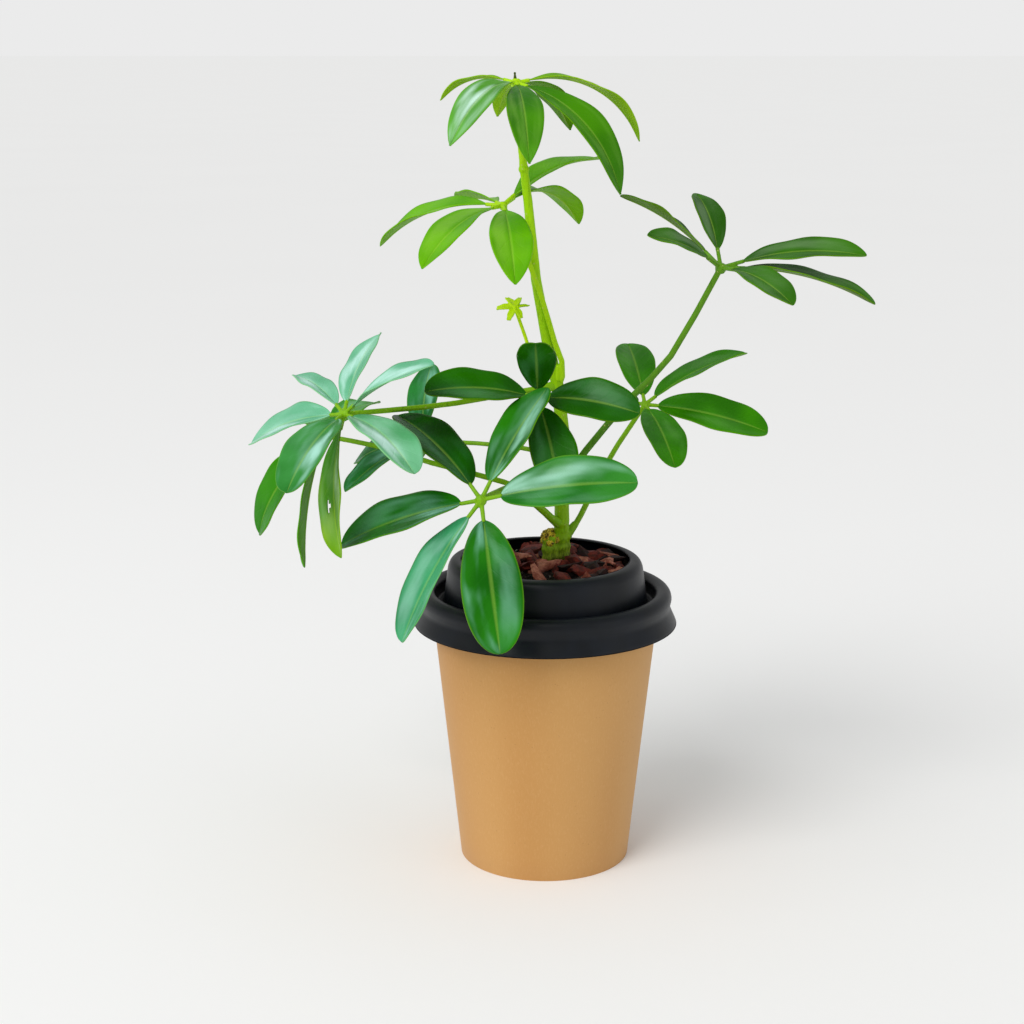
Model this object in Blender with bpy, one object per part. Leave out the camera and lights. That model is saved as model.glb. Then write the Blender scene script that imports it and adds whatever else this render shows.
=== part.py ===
"""A young umbrella plant in a paper takeaway cup whose lid has its middle cut out.

The frame's origin is on the cup's axis, on the plane that the cup stands on. +Z is up, and the
plant leans towards -X at its top. Every leaf is described by how it grows: where its stalk
leaves the stem, where its hub sits, and how each leaflet turns, lifts and droops from there.
"""

import math

import bmesh
import bpy
from mathutils import Matrix, Vector

MM = 0.001
FIT_GAP = 0.3 * MM  # between pieces that touch, or that growth joins
AROUND = 40  # sides of the turned pieces

# Paper cup
CUP_HEIGHT = 93.0 * MM
CUP_FOOT_RADIUS = 28.7 * MM
CUP_TOP_RADIUS = 38.4 * MM  # outside of the wall, just under the rolled rim
PAPER = 0.45 * MM
RIM_BEAD = 1.15 * MM  # radius of the rolled rim
BASE_RECESS = 6.0 * MM  # from the foot up to the underside of the base disc

# Takeaway lid
LID_SHEET = 0.6 * MM
LID_ROUND = 1.4 * MM  # how far its edges are rounded off
SKIRT_EASE = 1.4 * MM  # room between the rolled rim and the skirt
LIP_FLARE = 1.7 * MM
LIP_DROP = 11.5 * MM  # lip edge below the lid's rim
CREASE_DROP = 6.0 * MM
TROUGH_DROP = 5.6 * MM
TROUGH_WIDTH = 2.9 * MM  # from the plug's wall in to the collar's foot
COLLAR_TAPER = 1.8 * MM
COLLAR_RISE = 10.0 * MM  # collar top above the lid's rim
COLLAR_SHOULDER = 4.1 * MM  # from the collar's top in to the opening

# Potting mix
MIX_DROP = 4.2 * MM  # its edge below the lid's opening
MIX_CROWN = 1.4 * MM  # how much higher it lies at the middle
MIX_BUMP = 0.7 * MM
MIX_RINGS = 5

# Stem, from the roots up: x, y, height above the cup's rim and radius, in millimetres
STEM_PATH = (
    (5.0, 4.0, -31.0, 1.4),
    (5.6, 4.0, -9.0, 2.6),
    (5.7, 4.0, 6.0, 2.8),
    (5.5, 4.0, 27.0, 2.4),
    (5.7, 4.0, 53.0, 2.2),
    (3.8, 4.0, 69.0, 2.0),
    (0.3, 3.0, 84.0, 1.8),
    (-3.4, 2.0, 104.0, 1.6),
    (-6.1, 0.0, 129.5, 1.4),
    (-7.6, -0.8, 141.0, 1.25),
)
STEM_SIDES = 10
CUT_STUB = (1.6, 2.6, -1.0, 18.0, 2.7)  # the pruned old shoot: x, y, foot, top, radius

# Leaves
BLADE_THICKNESS = 0.7 * MM
BLADE_STEPS = 7
BLADE_FOLD = 13.0  # degrees that each half rises from the midrib
BLADE_FOOT = 0.8 * MM  # half width where the blade leaves its stalklet
BLADE_TIP = 0.9 * MM
WIDEST_AT = 1.1  # over 1 puts the widest place nearer the tip
STALK_STEPS = 8
STALK_SIDES = 6
STALKLET_SIDES = 5
STALKLET_RADIUS = 0.62 * MM
HUB_RADIUS = 1.45 * MM

# For each leaf, in millimetres: the height where its stalk joins the stem, the points the stalk
# passes, the hub where its leaflets meet, the stalk's radius at both ends, the length of its
# stalklets, and its blades' length and width. Heights are above the cup's rim. For each leaflet,
# in degrees: the turn from +X towards +Y, the lift at its foot, the droop along it and the roll;
# then its size.
LEAVES = {
    "crown_leaf": {
        "joins": 140.4,
        "via": ((-8.9, -1.7, 153.0),),
        "hub": (-9.9, -3.0, 166.5),
        "thick": (1.15, 0.9),
        "stalklet": 4.5,
        "blade": (43.0, 12.4),
        "leaflets": (
            (156, 14, 62, 0, 0.56),
            (-115, 3, 64, -12, 0.94),
            (104, -5, 45, 0, 0.55),
            (-84, -8, 52, 0, 0.96),
            (-34, -12, 76, 18, 1.12),
            (14, 12, 80, 5, 1.06),
            (62, 0, 50, 0, 0.9),
        ),
    },
    "upper_leaf": {
        "joins": 67.5,
        "via": ((5.6, 1.4, 75.0), (2.3, 0.5, 85.0), (-1.4, -0.9, 98.0), (-7.0, -2.4, 113.0)),
        "hub": (-14.1, 0.0, 128.0),
        "thick": (1.0, 0.75),
        "stalklet": 6.0,
        "blade": (40.0, 15.0),
        "leaflets": (
            (160, 2, 48, -15, 1.08),
            (-127, -5, 40, 0, 0.98),
            (-84, -12, 40, 0, 0.95),
            (112, 6, 20, 15, 0.8),
            (50, 20, 75, 0, 0.95),
            (42, 32, 35, 0, 1.0),
        ),
    },
    "right_leaf": {
        "joins": 35.0,
        "via": ((13.4, 3.0, 47.0), (27.6, 0.0, 65.0), (40.5, -4.0, 79.8)),
        "hub": (55.4, -10.0, 109.0),
        "thick": (1.3, 0.95),
        "stalklet": 8.0,
        "blade": (36.0, 12.5),
        "leaflets": (
            (139, 38, 25, 25, 1.0),
            (-133, 28, 25, -40, 0.75),
            (96, 45, 30, 14, 0.85),
            (-24, 18, 30, 25, 1.08),
            (-22, 2, 30, 0, 1.2),
            (-66, 2, 30, 10, 0.95),
        ),
    },
    "middle_leaf": {
        "joins": 15.0,
        "via": ((11.0, 7.0, 22.0), (21.8, 14.0, 42.0)),
        "hub": (34.5, 28.0, 58.0),
        "thick": (1.05, 0.75),
        "stalklet": 5.0,
        "blade": (34.0, 14.5),
        "leaflets": (
            (97, 36, 25, 0, 0.96),
            (21, 33, 25, 0, 1.08),
            (-17, -2, 25, 35, 1.12),
            (-77, -12, 25, 0, 0.98),
            (126, 0, 30, 0, 0.95),
        ),
    },
    "centre_leaf": {
        "joins": 44.0,
        "via": ((3.0, -6.0, 53.0),),
        "hub": (-2.9, -16.0, 68.0),
        "thick": (1.0, 0.8),
        "stalklet": 4.5,
        "blade": (32.0, 16.5),
        "leaflets": (
            (-159, 17, 30, -30, 1.03),
            (-93, 52, 20, 0, 0.8),
            (-36, 7, 35, 45, 0.97),
            (-73, -40, 25, 0, 1.0),
        ),
    },
    "front_leaf": {
        "joins": 20.0,
        "via": ((-2.0, -6.0, 29.5), (-11.0, -26.0, 40.5)),
        "hub": (-20.8, -44.0, 40.8),
        "thick": (1.35, 0.95),
        "stalklet": 7.0,
        "blade": (41.0, 20.0),
        "leaflets": (
            (46, 52, 12, -5, 0.88),
            (-15, 15, 20, 40, 1.03),
            (-75, -62, 15, 15, 1.0),
            (-155, -49, 20, 0, 1.06),
            (167, -13, 20, -25, 1.05),
            (132, 38, 25, 0, 0.95),
        ),
    },
    "left_leaf": {
        "joins": 68.5,
        "via": ((-9.2, -1.5, 67.5), (-33.0, -11.5, 65.0)),
        "hub": (-64.7, -22.0, 63.8),
        "thick": (0.95, 0.8),
        "stalklet": 5.5,
        "blade": (37.0, 15.5),
        "leaflets": (
            (80, 42, 25, -35, 0.9),
            (126, 28, 30, 0, 0.7),
            (-38, 38, 25, 25, 0.93),
            (150, -8, 30, -30, 1.04),
            (-113, -10, 35, 0, 1.0),
            (-105, -52, 25, 50, 1.15),
            (-56, 0, 35, 0, 1.07),
        ),
    },
    "rear_leaf": {
        "joins": 28.0,
        "via": ((-13.9, 4.0, 36.0), (-38.0, 2.0, 43.0), (-56.0, 5.0, 48.0)),
        "hub": (-74.5, 14.0, 49.7),
        "thick": (0.95, 0.75),
        "stalklet": 6.0,
        "blade": (36.0, 14.0),
        "leaflets": (
            (172, -42, 40, -45, 1.15),
            (-118, -56, 20, 64, 1.12),
            (108, 8, 30, 0, 1.12),
            (67, 20, 30, 0, 0.92),
        ),
    },
}

# These two are one piece each: a leaf behind the others, and one that has just opened.
WHOLE_LEAVES = {
    "inner_leaf": {
        "joins": 44.0,
        "via": ((-5.9, 8.0, 46.5), (-25.4, 16.0, 47.0)),
        "hub": (-42.1, 22.0, 46.0),
        "thick": (0.95, 0.8),
        "stalklet": 5.0,
        "blade": (33.0, 13.0),
        "leaflets": (
            (90, 50, 25, -20, 0.97),
            (144, -8, 30, -35, 1.0),
            (-140, -8, 30, 0, 0.95),
            (100, -10, 35, 0, 0.95),
            (-75, 18, 20, 0, 0.55),
        ),
    },
    "young_leaf": {
        "joins": 69.0,
        "via": ((-4.0, 6.5, 77.0), (-7.0, 7.0, 85.0)),
        "hub": (-10.2, 7.0, 94.0),
        "thick": (0.75, 0.6),
        "stalklet": 0.8,
        "blade": (6.0, 2.6),
        "leaflets": (
            (10, 25, 30, 0, 0.9),
            (65, 50, 30, 0, 0.9),
            (125, 45, 30, 0, 1.0),
            (180, 15, 40, -30, 1.1),
            (-120, -25, 30, 0, 1.0),
            (-60, -15, 40, 0, 0.9),
        ),
    },
}

COLOURS = {
    "kraft_paper": ((0.60, 0.33, 0.14), 0.75),
    "black_plastic": ((0.015, 0.017, 0.02), 0.35),
    "bark_mix": ((0.10, 0.035, 0.025), 0.95),
    "green_stem": ((0.20, 0.36, 0.05), 0.5),
    "mature_leaf": ((0.07, 0.24, 0.03), 0.3),
    "young_leaf": ((0.28, 0.55, 0.03), 0.35),
}
LIME_LEAVES = ("crown_leaf", "upper_leaf", "young_leaf")


def planted(x, y, height):
    """A point of the plant, from millimetres off the cup's axis and above the cup's rim."""
    return Vector((x * MM, y * MM, CUP_HEIGHT + height * MM))


def heading(turn, lift):
    """The unit vector turned from +X about the vertical and lifted above the horizontal."""
    turn = math.radians(turn)
    lift = math.radians(lift)
    flat = math.cos(lift)
    return Vector((flat * math.cos(turn), flat * math.sin(turn), math.sin(lift)))


def across(direction):
    """The horizontal unit vector at right angles to a direction, on its left."""
    side = Vector((0.0, 0.0, 1.0)).cross(direction)
    return side.normalized() if side.length > 1e-6 else Vector((0.0, 1.0, 0.0))


def paint(obj, slot):
    colour, roughness = COLOURS[slot]
    material = bpy.data.materials.get(slot) or bpy.data.materials.new(slot)
    material.use_nodes = True
    shader = material.node_tree.nodes["Principled BSDF"]
    shader.inputs["Base Color"].default_value = (*colour, 1.0)
    shader.inputs["Roughness"].default_value = roughness
    obj.data.materials.append(material)


def add_body(name, rings, looped=False, smooth=True):
    """One closed mesh through rings of points, with the first and last capped unless looped."""
    mesh = bpy.data.meshes.new(name)
    bm = bmesh.new()
    rows = [[bm.verts.new(point) for point in ring] for ring in rings]
    following = rows[1:] + rows[:1] if looped else rows[1:]
    for row, after in zip(rows, following):
        for i in range(len(row)):
            j = (i + 1) % len(row)
            bm.faces.new((row[i], row[j], after[j], after[i]))
    if not looped:
        bm.faces.new(list(reversed(rows[0])))
        bm.faces.new(rows[-1])
    bmesh.ops.remove_doubles(bm, verts=bm.verts, dist=0.001 * MM)
    bmesh.ops.recalc_face_normals(bm, faces=bm.faces)
    bm.to_mesh(mesh)
    bm.free()
    for face in mesh.polygons:
        face.use_smooth = smooth
    obj = bpy.data.objects.new(name, mesh)
    bpy.context.scene.collection.objects.link(obj)
    return obj


def turned(name, outline):
    """A solid of revolution about the cup's axis, from a closed outline of (radius, height)."""
    angles = [2 * math.pi * k / AROUND for k in range(AROUND)]
    rings = [
        [(radius * math.cos(a), radius * math.sin(a), height) for radius, height in outline]
        for a in angles
    ]
    return add_body(name, rings, looped=True)


def sheet(centre_line, thickness):
    """The closed outline of a sheet of one thickness about a line of (radius, height)."""
    points = [Vector(point) for point in centre_line]
    sides = ([], [])
    for i, point in enumerate(points):
        before = (point - points[i - 1]).normalized() if i else None
        after = (points[i + 1] - point).normalized() if i + 1 < len(points) else None
        mean = ((before or after) + (after or before)).normalized()
        normal = Vector((-mean.y, mean.x))
        reach = thickness / 2 / max(mean.dot(after or before), 0.5)
        sides[0].append(point + normal * reach)
        sides[1].append(point - normal * reach)
    return sides[0] + sides[1][::-1]


def smooth_path(points, steps):
    """Points along a Catmull-Rom curve through the given vectors of any size."""
    ends = [points[0] * 2 - points[1], *points, points[-1] * 2 - points[-2]]
    path = []
    for k in range(steps + 1):
        place = k / steps * (len(points) - 1)
        i = min(int(place), len(points) - 2)
        t = place - i
        a, b, c, d = ends[i : i + 4]
        bend = (c - a) * t + (2 * a - 5 * b + 4 * c - d) * t * t + (3 * b - a - 3 * c + d) * t**3
        path.append(b + bend / 2)
    return path


def tube(name, path, radii, sides):
    """A closed round tube that follows a path."""
    rings = []
    side = None
    for i, point in enumerate(path):
        along = (path[min(i + 1, len(path) - 1)] - path[max(i - 1, 0)]).normalized()
        side = across(along) if side is None else (side - along * side.dot(along)).normalized()
        up = along.cross(side)
        ring = []
        for k in range(sides):
            a = 2 * math.pi * k / sides
            ring.append(point + (side * math.cos(a) + up * math.sin(a)) * radii[i])
        rings.append(ring)
    return add_body(name, rings)


def stem_tube(name, extra):
    """The stem's own shape, made wider all round and longer at both ends by extra."""
    path = [planted(*point[:3]) for point in STEM_PATH]
    path[0] = path[0] - (path[1] - path[0]).normalized() * extra
    path[-1] = path[-1] + (path[-1] - path[-2]).normalized() * extra
    radii = [point[3] * MM + extra for point in STEM_PATH]
    return tube(name, path, radii, STEM_SIDES)


def stub_tube(name, extra):
    x, y, foot, top, radius = CUT_STUB
    rise = Vector((0.0, 0.0, extra))
    path = [planted(x, y, foot) - rise, planted(x, y, (foot + 4 * top) / 5)]
    path.append(planted(x, y, top) + rise)
    radii = [radius * MM + extra, radius * MM + extra, radius * MM * 0.9 + extra]
    return tube(name, path, radii, STEM_SIDES)


def stem_at(height):
    """The stem's centre, from millimetres above the cup's rim."""
    for below, above in zip(STEM_PATH, STEM_PATH[1:]):
        if height <= above[2]:
            t = (height - below[2]) / (above[2] - below[2])
            return planted(*below[:3]).lerp(planted(*above[:3]), max(t, 0.0))
    return planted(*STEM_PATH[-1][:3])


def helper(obj):
    obj.hide_render = True
    obj.display_type = "WIRE"
    return obj


def gather(name, objects):
    """A collection of helpers for one Boolean."""
    collection = bpy.data.collections.new(name)
    bpy.context.scene.collection.children.link(collection)
    for obj in objects:
        bpy.context.scene.collection.objects.unlink(obj)
        collection.objects.link(helper(obj))
    return collection


def combine(obj, operation, collection):
    modifier = obj.modifiers.new(operation.title(), "BOOLEAN")
    modifier.operation = operation
    modifier.operand_type = "COLLECTION"
    modifier.collection = collection
    modifier.solver = "EXACT"


def blade(name, foot, leaflet, length, width):
    """A leaflet: a thin blade folded along its midrib, drooping from its foot to its tip."""
    turn, lift, droop, roll, size = leaflet
    length = length * size
    half = width * size / 2
    point = foot.copy()
    rings = []
    start = heading(turn, lift)
    side = Matrix.Rotation(math.radians(roll), 3, start) @ across(start)
    for k in range(BLADE_STEPS + 1):
        t = k / BLADE_STEPS
        along = Matrix.Rotation(math.radians(droop * t), 3, side) @ start
        up = along.cross(side)
        swell = (1 - (2 * t**WIDEST_AT - 1) ** 2) ** 0.72
        least = BLADE_FOOT + (BLADE_TIP - BLADE_FOOT) * t
        reach = max(half * swell, min(least, half * 0.6))
        rise = reach * math.sin(math.radians(BLADE_FOLD))
        span = reach * math.cos(math.radians(BLADE_FOLD))
        thick = up * BLADE_THICKNESS / 2
        left = point + side * span + up * rise
        right = point - side * span + up * rise
        ring = [left + thick, point + thick, right + thick]
        rings.append(ring + [right - thick, point - thick, left - thick])
        bend = Matrix.Rotation(math.radians(droop * (t + 0.5 / BLADE_STEPS)), 3, side)
        point = point + bend @ start * (length / BLADE_STEPS)
    return add_body(name, rings)


def leaf_frame(name, plan, stem_cutter, gap):
    """A leaf's stalk, hub and stalklets as one piece, and the foot of each leaflet."""
    hub = planted(*plan["hub"])
    points = [stem_at(plan["joins"]), *(planted(*point) for point in plan["via"]), hub]
    path = smooth_path(points, STALK_STEPS)
    first, last = (radius * MM for radius in plan["thick"])
    radii = [first + (last - first) * (i / STALK_STEPS) ** 0.7 for i in range(STALK_STEPS + 1)]
    stalk = tube(name, path, radii, STALK_SIDES)
    size = last / (0.8 * MM)
    knob = tube(
        name + "_hub",
        [hub + Vector((0, 0, z * HUB_RADIUS * size)) for z in (-1.0, -0.5, 0.3, 0.8)],
        [HUB_RADIUS * size * r for r in (0.55, 0.95, 1.0, 0.6)],
        8,
    )
    pieces = [knob]
    feet = []
    for i, leaflet in enumerate(plan["leaflets"]):
        away = heading(leaflet[0], leaflet[1])
        end = hub + away * (plan["stalklet"] * MM)
        radius = min(STALKLET_RADIUS, last)
        name_i = f"{name}_stalklet_{i + 1}"
        pieces.append(tube(name_i, [hub, end], [radius * 1.15, radius], STALKLET_SIDES))
        feet.append(end + away * gap)
    combine(stalk, "UNION", gather(name + "_joined", pieces))
    combine(stalk, "DIFFERENCE", stem_cutter)
    return stalk, feet


def build_cup():
    slope = (CUP_TOP_RADIUS - CUP_FOOT_RADIUS) / (CUP_HEIGHT - 2 * RIM_BEAD)
    skirt_room = PAPER + 2 * FIT_GAP

    def outside(height):
        return CUP_FOOT_RADIUS + slope * height

    bead = Vector((CUP_TOP_RADIUS - PAPER + RIM_BEAD, CUP_HEIGHT - RIM_BEAD))
    rim = []
    for degrees in (-60, 0, 45, 90, 135, 180):
        a = math.radians(degrees)
        rim.append((bead.x + RIM_BEAD * math.cos(a), bead.y + RIM_BEAD * math.sin(a)))
    hem_top = BASE_RECESS - FIT_GAP
    hem_outside = -PAPER - skirt_room
    outline = [
        (outside(0.0), 0.0),
        (outside(CUP_HEIGHT / 2), CUP_HEIGHT / 2),
        (outside(CUP_HEIGHT - 2.6 * RIM_BEAD), CUP_HEIGHT - 2.6 * RIM_BEAD),
        *rim,
        (outside(CUP_HEIGHT - 2.6 * RIM_BEAD) - PAPER, CUP_HEIGHT - 2.6 * RIM_BEAD),
        (outside(PAPER) - PAPER, PAPER),
        (outside(PAPER) + hem_outside, PAPER),
        (outside(hem_top) + hem_outside, hem_top),
        (outside(hem_top) + hem_outside - PAPER, hem_top),
        (outside(0.0) + hem_outside - PAPER, 0.0),
    ]
    paint(turned("cup_wall", outline), "kraft_paper")

    disc_top = BASE_RECESS + PAPER
    skirt_foot = PAPER + FIT_GAP
    clear = PAPER + FIT_GAP
    outline = [
        (0.0, BASE_RECESS),
        (outside(BASE_RECESS) - clear - PAPER, BASE_RECESS),
        (outside(skirt_foot) - clear - PAPER, skirt_foot),
        (outside(skirt_foot) - clear, skirt_foot),
        (outside(disc_top) - clear, disc_top),
        (0.0, disc_top),
    ]
    paint(turned("cup_base", outline), "kraft_paper")
    return outside, disc_top


def build_lid(outside):
    half = LID_SHEET / 2
    top = CUP_HEIGHT + FIT_GAP + half
    skirt = CUP_TOP_RADIUS - PAPER + 2 * RIM_BEAD + FIT_GAP + SKIRT_EASE + half
    trough = top - TROUGH_DROP
    plug = outside(trough) - PAPER - FIT_GAP - half
    collar = top + COLLAR_RISE
    collar_foot = plug - TROUGH_WIDTH
    collar_top = collar_foot - COLLAR_TAPER
    line = [
        (skirt + LIP_FLARE, top - LIP_DROP),
        (skirt, top - CREASE_DROP),
        (skirt, top - 2 * LID_ROUND),
        (skirt - 0.4 * LID_ROUND, top - 0.7 * LID_ROUND),
        (skirt - 1.3 * LID_ROUND, top),
        (plug + 1.1 * LID_ROUND, top),
        (plug + 0.2 * LID_ROUND, top - 0.7 * LID_ROUND),
        (plug, trough),
        (collar_foot, trough),
        (collar_top, collar - 1.6 * LID_ROUND),
        (collar_top - 0.6 * LID_ROUND, collar - 0.4 * LID_ROUND),
        (collar_top - 1.6 * LID_ROUND, collar),
        (collar_top - COLLAR_SHOULDER, collar),
    ]
    paint(turned("lid", sheet(line, LID_SHEET)), "black_plastic")
    return (collar_foot, trough - half), (collar_top, collar + half)


def build_mix(outside, floor, collar_foot, collar_top, stem_cutter):
    """The potting mix fills the cup, steps in under the lid's trough and rises in its collar."""
    inside = PAPER + FIT_GAP
    neck_clear = LID_SHEET + 2 * FIT_GAP
    step = collar_foot[1] - FIT_GAP
    edge = collar_top[1] - MIX_DROP
    neck_foot = collar_foot[0] - neck_clear
    neck = collar_top[0] - neck_clear
    rings = []
    for k in range(AROUND):
        a = 2 * math.pi * k / AROUND
        outline = [
            (0.0, floor + FIT_GAP),
            (outside(floor) - inside, floor + FIT_GAP),
            (outside(step) - inside - FIT_GAP, step),
            (neck_foot, step),
        ]
        for j in range(MIX_RINGS, -1, -1):
            u = j / MIX_RINGS
            wave = math.sin(5 * a + 7 * u) + math.sin(9 * a - 11 * u + 1.0)
            bump = MIX_BUMP * wave * u * (1.2 - u)
            outline.append((neck * u, edge + MIX_CROWN * (1 - u * u) + bump))
        rings.append([(r * math.cos(a), r * math.sin(a), z) for r, z in outline])
    mix = add_body("potting_mix", rings, looped=True, smooth=False)
    combine(mix, "DIFFERENCE", stem_cutter)
    paint(mix, "bark_mix")


def build_plant(stem_cutter):
    stem = stem_tube("main_stem", 0.0)
    combine(stem, "UNION", gather("stem_joined", [stub_tube("cut_stub", 0.0)]))
    paint(stem, "green_stem")
    for name, plan in LEAVES.items():
        slot = "young_leaf" if name in LIME_LEAVES else "mature_leaf"
        stalk, feet = leaf_frame(name + "_stalk", plan, stem_cutter, FIT_GAP)
        paint(stalk, "green_stem")
        length, width = (size * MM for size in plan["blade"])
        for i, (foot, leaflet) in enumerate(zip(feet, plan["leaflets"])):
            paint(blade(f"{name}_leaflet_{i + 1}", foot, leaflet, length, width), slot)
    for name, plan in WHOLE_LEAVES.items():
        slot = "young_leaf" if name in LIME_LEAVES else "mature_leaf"
        whole, feet = leaf_frame(name, plan, stem_cutter, -2 * STALKLET_RADIUS)
        length, width = (size * MM for size in plan["blade"])
        blades = [
            blade(f"{name}_blade_{i + 1}", foot, leaflet, length, width)
            for i, (foot, leaflet) in enumerate(zip(feet, plan["leaflets"]))
        ]
        combine(whole, "UNION", gather(name + "_blades", blades))
        paint(whole, slot)


def build():
    for obj in list(bpy.data.objects):
        bpy.data.objects.remove(obj)
    outside, floor = build_cup()
    collar_foot, collar_top = build_lid(outside)
    cutters = [stem_tube("stem_room", FIT_GAP), stub_tube("stub_room", FIT_GAP)]
    stem_cutter = gather("stem_cutters", cutters)
    build_mix(outside, floor, collar_foot, collar_top, stem_cutter)
    build_plant(stem_cutter)


build()
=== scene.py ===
import math
import random

import bmesh
import bpy
import numpy as np
from mathutils import Matrix, Vector, noise
from mathutils.bvhtree import BVHTree
from mathutils.kdtree import KDTree


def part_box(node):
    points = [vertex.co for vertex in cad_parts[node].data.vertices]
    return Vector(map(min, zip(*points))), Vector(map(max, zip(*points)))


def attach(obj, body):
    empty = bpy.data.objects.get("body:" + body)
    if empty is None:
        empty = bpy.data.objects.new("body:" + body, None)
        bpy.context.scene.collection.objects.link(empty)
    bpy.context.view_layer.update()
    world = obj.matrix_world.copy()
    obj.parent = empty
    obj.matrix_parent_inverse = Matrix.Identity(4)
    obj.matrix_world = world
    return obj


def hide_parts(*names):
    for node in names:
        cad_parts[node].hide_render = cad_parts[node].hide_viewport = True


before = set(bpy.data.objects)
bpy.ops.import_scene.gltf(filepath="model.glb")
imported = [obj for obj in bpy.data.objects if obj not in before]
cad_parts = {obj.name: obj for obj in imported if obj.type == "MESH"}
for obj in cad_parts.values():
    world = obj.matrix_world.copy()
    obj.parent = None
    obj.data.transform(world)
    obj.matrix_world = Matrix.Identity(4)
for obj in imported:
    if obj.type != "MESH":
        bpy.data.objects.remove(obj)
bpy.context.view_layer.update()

mm = 0.001
up = Vector((0, 0, 1))


# ---- small helpers for meshes

def tint(code):
    # a hex colour as the linear colour that shaders take
    parts = [int(code[i:i + 2], 16) / 255 for i in (0, 2, 4)]
    return (*[p / 12.92 if p <= 0.04045 else ((p + 0.055) / 1.055) ** 2.4 for p in parts], 1)


def weldedCopy(nodeName):
    bm = bmesh.new()
    bm.from_mesh(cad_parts[nodeName].data)
    bmesh.ops.remove_doubles(bm, verts=bm.verts, dist=0.002 * mm)
    bm.verts.ensure_lookup_table()
    return bm


def keep(bm, name, *finishes, smooth=True):
    # turns a bmesh into an object of the scene, with its place in its mesh
    mesh = bpy.data.meshes.new(name)
    bm.to_mesh(mesh)
    bm.free()
    for finish in finishes:
        mesh.materials.append(finish)
    mesh.polygons.foreach_set("use_smooth", [smooth] * len(mesh.polygons))
    piece = bpy.data.objects.new(name, mesh)
    bpy.context.scene.collection.objects.link(piece)
    return piece


def settle(piece):
    # applies a piece's modifiers
    graph = bpy.context.evaluated_depsgraph_get()
    mesh = bpy.data.meshes.new_from_object(piece.evaluated_get(graph))
    piece.modifiers.clear()
    piece.data = mesh
    mesh.polygons.foreach_set("use_smooth", [True] * len(mesh.polygons))


def swell(piece, offset):
    # moves every vertex along its normal by what offset gives for its place, in metres
    vertices = piece.data.vertices
    moves = [v.normal * offset(v.co) for v in vertices]
    for v, move in zip(vertices, moves):
        v.co += move


def take(piece, slotName, *nodes):
    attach(piece, "root")
    if nodes:
        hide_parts(*nodes)


# ---- shader writing: a wire is a socket that can be used in sums

class Wire:
    def __init__(self, finish, socket):
        self.finish = finish
        self.socket = socket

    def sum(self, operation, *values):
        return self.finish.node("Math", {"operation": operation}, dict(enumerate(values)))

    def __add__(self, other):
        return self.sum("ADD", self, other)

    def __sub__(self, other):
        return self.sum("SUBTRACT", self, other)

    def __rsub__(self, other):
        return self.sum("SUBTRACT", other, self)

    def __mul__(self, other):
        return self.sum("MULTIPLY", self, other)

    def __truediv__(self, other):
        return self.sum("DIVIDE", self, other)

    def __rtruediv__(self, other):
        return self.sum("DIVIDE", other, self)

    def __pow__(self, other):
        return self.sum("POWER", self, other)

    def __abs__(self):
        return self.sum("ABSOLUTE", self)

    __radd__ = __add__
    __rmul__ = __mul__

    def fraction(self):
        return self.sum("FRACT", self)

    def within(self, low, high):
        # 0 below low and 1 above high, eased between; low over high turns it round
        values = {"Value": self, "From Min": low, "From Max": high, "To Min": 0.0, "To Max": 1.0}
        return self.finish.node("MapRange", {"interpolation_type": "SMOOTHSTEP"}, values)


class Finish:
    def __init__(self, name, **constants):
        self.material = bpy.data.materials.new(name)
        self.material.use_nodes = True
        self.tree = self.material.node_tree
        self.shader = self.tree.nodes["Principled BSDF"]
        for key, value in constants.items():
            self.shader.inputs[key.replace("_", " ")].default_value = value

    def feed(self, socket, value):
        if isinstance(value, Wire):
            self.tree.links.new(value.socket, socket)
        else:
            socket.default_value = value

    def node(self, kind, settings=None, inputs=None, output=0):
        made = self.tree.nodes.new("ShaderNode" + kind)
        for key, value in (settings or {}).items():
            setattr(made, key, value)
        for key, value in (inputs or {}).items():
            self.feed(made.inputs[key], value)
        return Wire(self, made.outputs[output])

    def place(self, scale=(1, 1, 1), turn=(0, 0, 0)):
        spot = self.node("TexCoord", output="Object")
        return self.node("Mapping", inputs={"Vector": spot, "Scale": scale, "Rotation": turn})

    def noise(self, size, detail=3.0, stretch=(1, 1, 1), rough=0.5, bend=0.0):
        # size is a patch's size in millimetres
        values = {"Vector": self.place(stretch), "Scale": 1 / (size * mm), "Detail": detail}
        values.update({"Roughness": rough, "Distortion": bend})
        return self.node("TexNoise", inputs=values)

    def cells(self, size, kind="F1", output="Distance"):
        values = {"Vector": self.place(), "Scale": 1 / (size * mm)}
        return self.node("TexVoronoi", {"feature": kind}, values, output)

    def mix(self, factor, a, b):
        return self.node("Mix", {"data_type": "RGBA"}, {0: factor, 6: a, 7: b}, 2)

    def heights(self, x="Z"):
        spot = self.node("TexCoord", output="Object")
        return self.node("SeparateXYZ", inputs={0: spot}, output=x)

    def finish(self, colour=None, roughness=None, relief=None, depth=0.1, coat=None):
        wanted = {"Base Color": colour, "Roughness": roughness, "Coat Weight": coat}
        for key, value in wanted.items():
            if value is not None:
                self.feed(self.shader.inputs[key], value)
        if relief is not None:
            bump = self.node("Bump", inputs={"Strength": 1.0, "Distance": depth * mm, "Height": relief})
            self.feed(self.shader.inputs["Normal"], bump)
        return self.material


# ---- turned pieces: cup, base and lid follow the CAD outline

turning = {"steps": 180, "seamAngle": 104.0, "seamWidth": 11.0, "seamStep": 0.28}


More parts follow.
